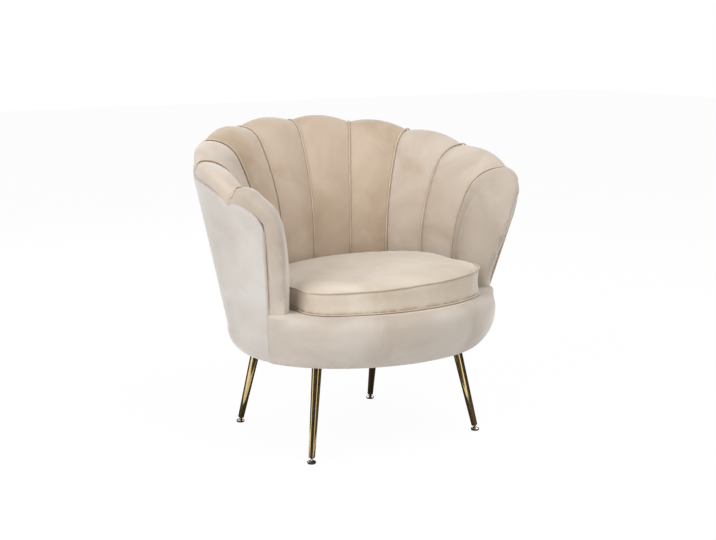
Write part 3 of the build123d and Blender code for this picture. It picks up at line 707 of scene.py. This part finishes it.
# The outer panel takes the lighter, greyer copy of the velvet, with painted light and sheen.
dress(outer_panel, side_velvet_painted_light)
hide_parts("outer_cover")
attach(outer_panel, "frame")

# Front band: a padded border of velvet round the front of the base, between the two front seams.
# It swells most at mid height and rolls in under the cushion.

BAND_SWELL, BAND_SAG, BAND_DIP = 0.037, 0.011, 0.005
END_SAG, BAND_TUCK, BAND_ROLL, BAND_T = 0.001, 0.03, 0.002, 0.006
BAND_HEM, LOW_END, HIGH_END = 0.06, 0.50, 0.86
bm, turn, up = grid_points(180, 44)
foot, lean, ease, lip = band_run(180 + turn * (180 - seam_angle))
end_swell = arm_corner + arm_slope * (BAND_Z - CORNER_Z) - arm_low
full_swell = reach_to(foot, lean, BASE_A + BAND_SWELL, BASE_BACK, BASE_FRONT + BAND_SWELL)
swell = end_swell + ease * (full_swell - end_swell)
sag = END_SAG + ease * (BAND_SAG - END_SAG)
hem = np.clip(up / BAND_HEM, 0, 1)
rise = np.clip((up - BAND_HEM) / (LOW_END - BAND_HEM), 0, 1)
shut = np.clip((up - LOW_END) / (HIGH_END - LOW_END), 0, 1)
tuck = np.clip((up - HIGH_END) / (1 - HIGH_END), 0, 1)
out = -HEM * (1 - hem) + 2 * rise * (1 - rise) * (swell / 2 + 2 * sag) + rise**2 * swell
out += 2 * shut * (1 - shut) * ((lip - swell) / 2 + sag) + shut**2 * (lip - swell)
out -= BAND_TUCK * tuck
height = BASE_Z + rise * (BAND_Z - BASE_Z) - 4 * rise * (1 - rise) * sag / 3
height += shut * (DECK_BASE - BAND_DIP * ease - BAND_Z) + 4 * shut * (1 - shut) * sag / 3
height += BAND_ROLL * np.sin(np.pi * tuck)
move_to(bm, np.column_stack([foot + lean * out[:, None], height]))
front_border = new_piece("front_border", bm)
thicken(front_border, BAND_T)
# The band takes the darker copy of the velvet, with painted shade.
dress(front_border, front_velvet_painted_shade)
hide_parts("front_band")
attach(front_border, "frame")

# Seam cords: thin cord wrapped in the same velvet, sewn into every petal seam, the front seams
# and both edges of the cushion.

CORD_R = 0.0017
CORD_SINK = 0.0004
CORD_WINDOW = 5.0


def sewn_cord(name, node, body):
    """A cord that follows the solid of its seam."""
    bm = merged(node)
    points = np.array([v.co for v in bm.verts])
    if node == "petal_piping":
        side = np.sign(points[:, 0])
        points[:, 0] *= side
        angle = angle_of(points, -3, ARM_ANGLE)
        foot, lean, flare, crest = stations(angle)[:4]
        reach = np.einsum("ij,ij->i", points[:, :2] - foot, lean)
        outer = np.clip((reach - flare) / RIM_R, 0, 1)
        down = np.clip((crest - points[:, 2]) / RIM_DROP, 0, 1)
        points[:, :2] += swept_back(angle, lean, outer * down)
        points[:, 0] *= side
    if body == "cushion":
        turn, far = polar(points)
        middle = np.array([far[turned_near(turn, at, CORD_WINDOW)].mean() for at in turns])
        closer = np.interp(turn, turns, cover_far - evened(middle, TURN_STEP)) / far
        points[:, :2] += (points[:, :2] - CUSHION_MIDDLE) * closer[:, None]
        points = tilted(points)
    move_to(bm, points)
    bm.normal_update()
    for vert in bm.verts:
        vert.co -= vert.normal * CORD_SINK
    piece = new_piece(name, bm)
    # Cords take the lighter copy of the velvet, with painted light against the shade beside them.
    dress(piece, cord_velvet_painted_light)
    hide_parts(node)
    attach(piece, body)


sewn_cord("flute_cords", "petal_piping", "frame")

route = bpy.data.curves.new("front_cord_route", "CURVE")
route.dimensions = "3D"
route.bevel_depth = CORD_R
route.bevel_resolution = 4
route.use_fill_caps = True
line = route.splines.new("NURBS")
guides = [*range(0, len(cord_line), 3), len(cord_line) - 1]
line.points.add(len(guides) - 1)
for point, index in zip(line.points, guides):
    point.co = (*cord_line[index], 1.0)
line.order_u = 3
line.use_endpoint_u = True
guide = bpy.data.objects.new("front_cord_route", route)
bpy.context.scene.collection.objects.link(guide)
bpy.context.view_layer.update()
shown = bpy.context.evaluated_depsgraph_get()
bm = bmesh.new()
bm.from_mesh(bpy.data.meshes.new_from_object(guide.evaluated_get(shown)))
bmesh.ops.mirror(bm, geom=bm.verts[:] + bm.edges[:] + bm.faces[:], axis="X", merge_dist=0.0)
bmesh.ops.recalc_face_normals(bm, faces=bm.faces)
bpy.data.objects.remove(guide)
front_cords = new_piece("front_cords", bm)
# The front cords take the lighter copy of the velvet, with painted light.
dress(front_cords, cord_velvet_painted_light)
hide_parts("front_piping")
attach(front_cords, "frame")

# Seat deck: a foam pad on the webbing under a velvet cover.
# It is seen only when the cushion is lifted out.

FOAM_PORES = (500, 500, 500)
pale_foam = finish(
    "pale_foam", (0.66, 0.60, 0.42), (0.80, 0.75, 0.58), FOAM_PORES, (0.85, 0.95), relief=0.0006
)
deck_filling = padding("deck_filling", "deck_pad", 0.005)
relax(deck_filling, 2)
dress(deck_filling, pale_foam)
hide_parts("deck_pad")
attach(deck_filling, "frame")
deck = padding("seat_deck", "deck_cover", 0.0025)
# The deck takes the lighter seat copy of the velvet, with painted top light.
dress(deck, seat_velvet_painted_light)
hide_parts("deck_cover")
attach(deck, "frame")

# Dust cover: thin black lining cloth stapled under the base board, inside the velvet's hem.
# It hangs about a millimetre lower in the middle.

DUST_A, DUST_BACK, DUST_FRONT = 0.291, 0.249, 0.231
DUST_TOP, DUST_SAG, DUST_T = 0.2352, 0.0012, 0.0006
DUST_RINGS = 7
bm = bmesh.new()
bmesh.ops.create_circle(bm, cap_ends=True, segments=96, radius=1.0)
for _ in range(DUST_RINGS):
    middle = max(bm.faces, key=lambda face: len(face.verts))
    bmesh.ops.inset_region(bm, faces=[middle], thickness=0.125, use_even_offset=True)
for vert in bm.verts:
    x, y = vert.co.x, vert.co.y
    depth = DUST_BACK if y > 0 else DUST_FRONT
    vert.co = (x * DUST_A, TUB_Y + y * depth, DUST_TOP - DUST_SAG * max(0.0, 1 - x * x - y * y))
dust_sheet = new_piece("dust_sheet", bm)
thicken(dust_sheet, DUST_T)
black_lining = woven("black_lining", (0.02, 0.02, 0.021), (0.055, 0.055, 0.057), 420.0)
dress(dust_sheet, black_lining)
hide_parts("dust_cover")
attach(dust_sheet, "frame")

# Loose cushion: a foam block in a boxed velvet cover, corded round its top and bottom edges.
# The foam fills the cover, so the top is crowned. The loose cushion lies a little higher on +X.

CUSHION_LOW, CUSHION_WELT = 0.3505, 0.4095
CUSHION_WALL = 0.0033
CUSHION_MIDDLE = np.array([0.0, -0.0545])
CROWN, SHOULDER, CROWN_START = 0.0160, 0.040, 0.004
CORE_GAP = 0.006
CUSHION_TILT, TILT_HALF = 0.0075, 0.25
WELT_BAND, WELT_HOLD, UPRIGHT = 0.006, 0.004, 0.85
TURN_STEP, CORNER_WIDTH = 2.0, 8.0
MOST_IN, MOST_OUT = 0.1, 0.012
FRONT_SINE, FRONT_FADE = 0.45, 0.3
CUSHION_SWELL = 0.004
cushion = padding("seat_cushion", "cushion_foam", 0.005)
relax(cushion, 2)
points, facing = coords(cushion.data), normals(cushion.data)
points += CUSHION_WALL * facing
points[:, 2] = np.maximum(points[:, 2], CUSHION_LOW)
turns = np.arange(-180.0, 181.0, TURN_STEP)


def polar(points):
    """Turn and distance of each place about the cushion's middle."""
    off = points[:, :2] - CUSHION_MIDDLE
    return np.degrees(np.arctan2(off[:, 1], off[:, 0])), np.hypot(off[:, 0], off[:, 1])


def evened(values, width):
    """Values round the cushion, smoothed over some degrees."""
    soft = np.exp(-0.5 * (np.arange(-12, 13) * TURN_STEP / width) ** 2)
    closed = np.concatenate([values[-13:-1], values, values[1:13]])
    return np.convolve(closed, soft / soft.sum(), "valid")


def turned_near(turn, at, window):
    """Which turns lie within a window of degrees about one turn."""
    return np.abs((turn - at + 180) % 360 - 180) < window


def outline(points):
    """Distance of the cushion's top edge from its middle, at each turn."""
    turn, far = polar(points[np.abs(points[:, 2] - CUSHION_WELT) < WELT_BAND])
    return evened(np.array([far[turned_near(turn, at, TURN_STEP)].max() for at in turns]), TURN_STEP)


welt_far = outline(points)
eased = evened(welt_far, CORNER_WIDTH) / welt_far
front_only = np.clip((FRONT_SINE - np.sin(np.radians(turns))) / FRONT_FADE, 0, 1)
easing = 1 + evened(np.clip(eased - 1, -MOST_IN, MOST_OUT) * front_only, CORNER_WIDTH)


def rounded_plan(points):
    """Ease the cushion's front corners to a rounder plan."""
    turn, far = polar(points)
    share = np.clip(far / np.interp(turn, turns, welt_far), 0, 1) ** 2
    eased_by = (np.interp(turn, turns, easing) - 1) * share
    points[:, :2] += (points[:, :2] - CUSHION_MIDDLE) * eased_by[:, None]
    return points


def tilted(points):
    """The cushion lies on the deck but stands a little higher towards +X."""
    up = np.clip((points[:, 2] - CUSHION_LOW) / (CUSHION_WELT - CUSHION_LOW), 0, 1)
    points[:, 2] += CUSHION_TILT * np.clip(points[:, 0] / TILT_HALF, -1, 1) * up
    return points


edge = KDTree(len(turns))
for number, turn in enumerate(np.radians(turns)):
    x, y = CUSHION_MIDDLE + welt_far[number] * np.array([math.cos(turn), math.sin(turn)])
    edge.insert((x, y, 0), number)
edge.balance()


def crowned(points):
    """Height of the cushion's crowned top at each place."""
    inwards = np.array([edge.find((x, y, 0))[2] for x, y in points[:, :2]])
    return CUSHION_WELT + CROWN * (1 - (1 - np.clip((inwards - CROWN_START) / SHOULDER, 0, 1)) ** 2)


points[:, 2] = np.where(points[:, 2] > CUSHION_WELT + 0.001, crowned(points), points[:, 2])
points = rounded_plan(points)
place(cushion.data, points)
held = (np.abs(points[:, 2] - CUSHION_WELT) < WELT_HOLD) & (np.abs(facing[:, 2]) < UPRIGHT)
held |= points[:, 2] < CUSHION_LOW + WELT_HOLD
puff(cushion, held, CUSHION_SWELL)
relax(cushion, 2, ~held)
cover_far = outline(coords(cushion.data))
place(cushion.data, tilted(coords(cushion.data)))
# The cushion takes the lighter seat copy of the velvet, with painted top light.
dress(cushion, seat_velvet_painted_light)
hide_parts("cushion_cover")
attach(cushion, "cushion")
sewn_cord("cushion_cord_top", "cushion_welt_top", "cushion")
sewn_cord("cushion_cord_bottom", "cushion_welt_bottom", "cushion")
cushion_core = padding("cushion_core", "cushion_foam", 0.008)
relax(cushion_core, 3)
points = coords(cushion_core.data)
points[:, 2] = np.minimum(points[:, 2], crowned(points) - CORE_GAP)
place(cushion_core.data, tilted(rounded_plan(points)))
dress(cushion_core, pale_foam)
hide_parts("cushion_foam")
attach(cushion_core, "cushion")

# Cushion zip: a woven tape along the back of the cushion, with a small metal slider.
# It is used with the cushion lifted out.

zip_cloth = woven("zip_cloth", (0.40, 0.33, 0.26), (0.56, 0.48, 0.40), 500.0)
zip_metal = finish(
    "zip_metal", (0.50, 0.44, 0.34), (0.64, 0.57, 0.45), (300, 300, 300), (0.2, 0.35), 1.0, 0.00005
)
coat("cushion_zip", zip_cloth)
coat("zip_slider", zip_metal)

# Legs: tapered steel tubes with a polished gold-coloured plating, cut level under round plates.
# The plating is bright but not a mirror, with faint lengthwise polishing marks.

BRUSHED = (300.0, 300.0, 30.0)
POLISHED = (60, 60, 3)
gold_plating = finish(
    "gold_plating", (0.78, 0.58, 0.27), (0.83, 0.63, 0.31), POLISHED, (0.10, 0.12), 1.0, 0.0
)
zinc_plating = finish(
    "zinc_plating", (0.48, 0.48, 0.49), (0.60, 0.60, 0.61), BRUSHED, (0.28, 0.42), 1.0, 0.00005
)
LEGS = ("front_right", "front_left", "back_right", "back_left")
for node in ["leg_" + leg for leg in LEGS] + ["leg_plates"]:
    coat(node, gold_plating)
coat("tee_nuts", zinc_plating)

# Glides: a threaded zinc stud with a ball end screws into a black plug in each leg.
# A bright pressed disc swivels on the ball and holds a black rubber pad.

bright_plating = finish(
    "bright_plating", (0.66, 0.61, 0.54), (0.78, 0.72, 0.64), BRUSHED, (0.10, 0.20), 1.0, 0.00002
)
black_plastic = finish(
    "black_plastic", (0.018, 0.018, 0.019), (0.035, 0.035, 0.036), (400, 400, 400), (0.45, 0.6)
)
black_rubber = finish(
    "black_rubber", (0.015, 0.014, 0.014), (0.04, 0.038, 0.036), (700, 700, 700), (0.7, 0.9)
)
coat("leg_plugs", black_plastic)
for leg in LEGS:
    coat("glide_stud_" + leg, zinc_plating)
    coat("glide_disc_" + leg, bright_plating)
    coat("glide_pad_" + leg, black_rubber)

# Studio: a large soft lamp high on the left, a weaker one in front, and two to lift the side and back.
# Floor and surround are plain white.


def lamp(name, spot, aim, size, power):
    """A square soft lamp turned to its aim."""
    light = bpy.data.lights.new(name, "AREA")
    light.size = size
    light.energy = power
    made = bpy.data.objects.new(name, light)
    made.location = spot
    made.rotation_euler = (Vector(aim) - Vector(spot)).to_track_quat("-Z", "Y").to_euler()
    bpy.context.scene.collection.objects.link(made)


lamp("key", (-3.1, -0.9, 2.2), (0, 0, 0.4), 2.2, 88)
lamp("front", (0.3, -1.9, 3.0), (0, 0, 0.4), 2.0, 62)
lamp("side", (2.6, 0.6, 2.2), (0, 0, 0.4), 1.6, 14)
lamp("back", (0.6, 3.2, 2.2), (0, 0, 0.4), 2.0, 34)

# Dark cards on the floor and round about, out of sight of the camera.
# They give the polished legs their dark streaks, and the gaps between them the light ones.

CARD_RADIUS, CARD_TOP = 2.4, 1.8
CARD_SPANS = {"right": (-83.0, 149.0), "left": (173.0, 263.0)}
CARD_LIFT, CARD_HOLE = 0.002, 0.01
dark_card = bpy.data.materials.new("dark_card")
dark_card.use_nodes = True
dark_paint = dark_card.node_tree.nodes["Principled BSDF"]
dark_paint.inputs["Base Color"].default_value = (0.03, 0.025, 0.02, 1)
dark_paint.inputs["Roughness"].default_value = 0.9
cards = [(kind + side, *span) for kind in ("wall_", "floor_") for side, span in CARD_SPANS.items()]
for name, first, last in cards:
    bm = bmesh.new()
    heading = Vector((math.cos(math.radians(first)), math.sin(math.radians(first)), 0))
    lift = Vector((0, 0, CARD_LIFT))
    outer_end = heading * CARD_RADIUS
    inner_end = heading * CARD_HOLE if name.startswith("floor") else outer_end + Vector((0, 0, CARD_TOP))
    ends = [bm.verts.new(outer_end + lift), bm.verts.new(inner_end + lift)]
    swung = {"cent": (0, 0, 0), "axis": (0, 0, 1), "angle": math.radians(last - first), "steps": 48}
    bmesh.ops.spin(bm, geom=ends + [bm.edges.new(ends)], **swung)
    card = new_piece(name, bm, smooth=False)
    card.data.materials.append(dark_card)
    for kind in ("camera", "diffuse", "transmission", "volume_scatter", "shadow"):
        setattr(card, "visible_" + kind, False)

world = bpy.data.worlds.new("white_surround")
bpy.context.scene.world = world
world.use_nodes = True
nodes, link = world.node_tree.nodes, world.node_tree.links.new
ambient = nodes["Background"]
ambient.inputs["Color"].default_value = (1, 1, 1, 1)
ambient.inputs["Strength"].default_value = 0.42
seen = nodes.new("ShaderNodeBackground")
seen.inputs["Color"].default_value = (1, 1, 1, 1)
rays = nodes.new("ShaderNodeLightPath")
mirrored_ray = nodes.new("ShaderNodeMath")
mirrored_ray.operation = "MAXIMUM"
link(rays.outputs["Is Glossy Ray"], mirrored_ray.inputs[0])
link(rays.outputs["Is Transmission Ray"], mirrored_ray.inputs[1])
direct = nodes.new("ShaderNodeMath")
direct.operation = "MAXIMUM"
link(rays.outputs["Is Camera Ray"], direct.inputs[0])
link(mirrored_ray.outputs["Value"], direct.inputs[1])
choose = nodes.new("ShaderNodeMixShader")
link(direct.outputs["Value"], choose.inputs["Fac"])
link(ambient.outputs["Background"], choose.inputs[1])
link(seen.outputs["Background"], choose.inputs[2])
link(choose.outputs["Shader"], nodes["World Output"].inputs["Surface"])

bm = bmesh.new()
bmesh.ops.create_grid(bm, x_segments=1, y_segments=1, size=12)
floor = new_piece("floor", bm, smooth=False)
paper = bpy.data.materials.new("white_paper")
paper.use_nodes = True
nodes, link = paper.node_tree.nodes, paper.node_tree.links.new
matt = nodes["Principled BSDF"]
matt.inputs["Base Color"].default_value = (0.9, 0.9, 0.9, 1)
matt.inputs["Roughness"].default_value = 0.9
matt.inputs["Specular IOR Level"].default_value = 0.1
glow = nodes.new("ShaderNodeEmission")
glow.inputs["Strength"].default_value = 1.0
rays = nodes.new("ShaderNodeLightPath")
share = nodes.new("ShaderNodeMath")
share.operation = "MULTIPLY"
share.inputs[1].default_value = 0.96
link(rays.outputs["Is Camera Ray"], share.inputs[0])
choose = nodes.new("ShaderNodeMixShader")
link(share.outputs["Value"], choose.inputs["Fac"])
link(matt.outputs["BSDF"], choose.inputs[1])
link(glow.outputs["Emission"], choose.inputs[2])
link(choose.outputs["Shader"], nodes["Material Output"].inputs["Surface"])
floor.data.materials.append(paper)

# Camera: a long lens a little higher than the back, looking down on the seat from the left.
# Its place and lens were fitted to the feet and seams.

camera = bpy.data.cameras.new("camera")
camera.sensor_width = 36.0
camera.lens = 73.09
eye = bpy.data.objects.new("camera", camera)
eye.location = (-1.9936, -2.9001, 1.0260)
eye.rotation_euler = Vector((-0.5596, -0.8104, 0.1738)).to_track_quat("Z", "Y").to_euler()
bpy.context.scene.collection.objects.link(eye)
bpy.context.scene.camera = eye
bpy.context.scene.view_settings.view_transform = "Standard"
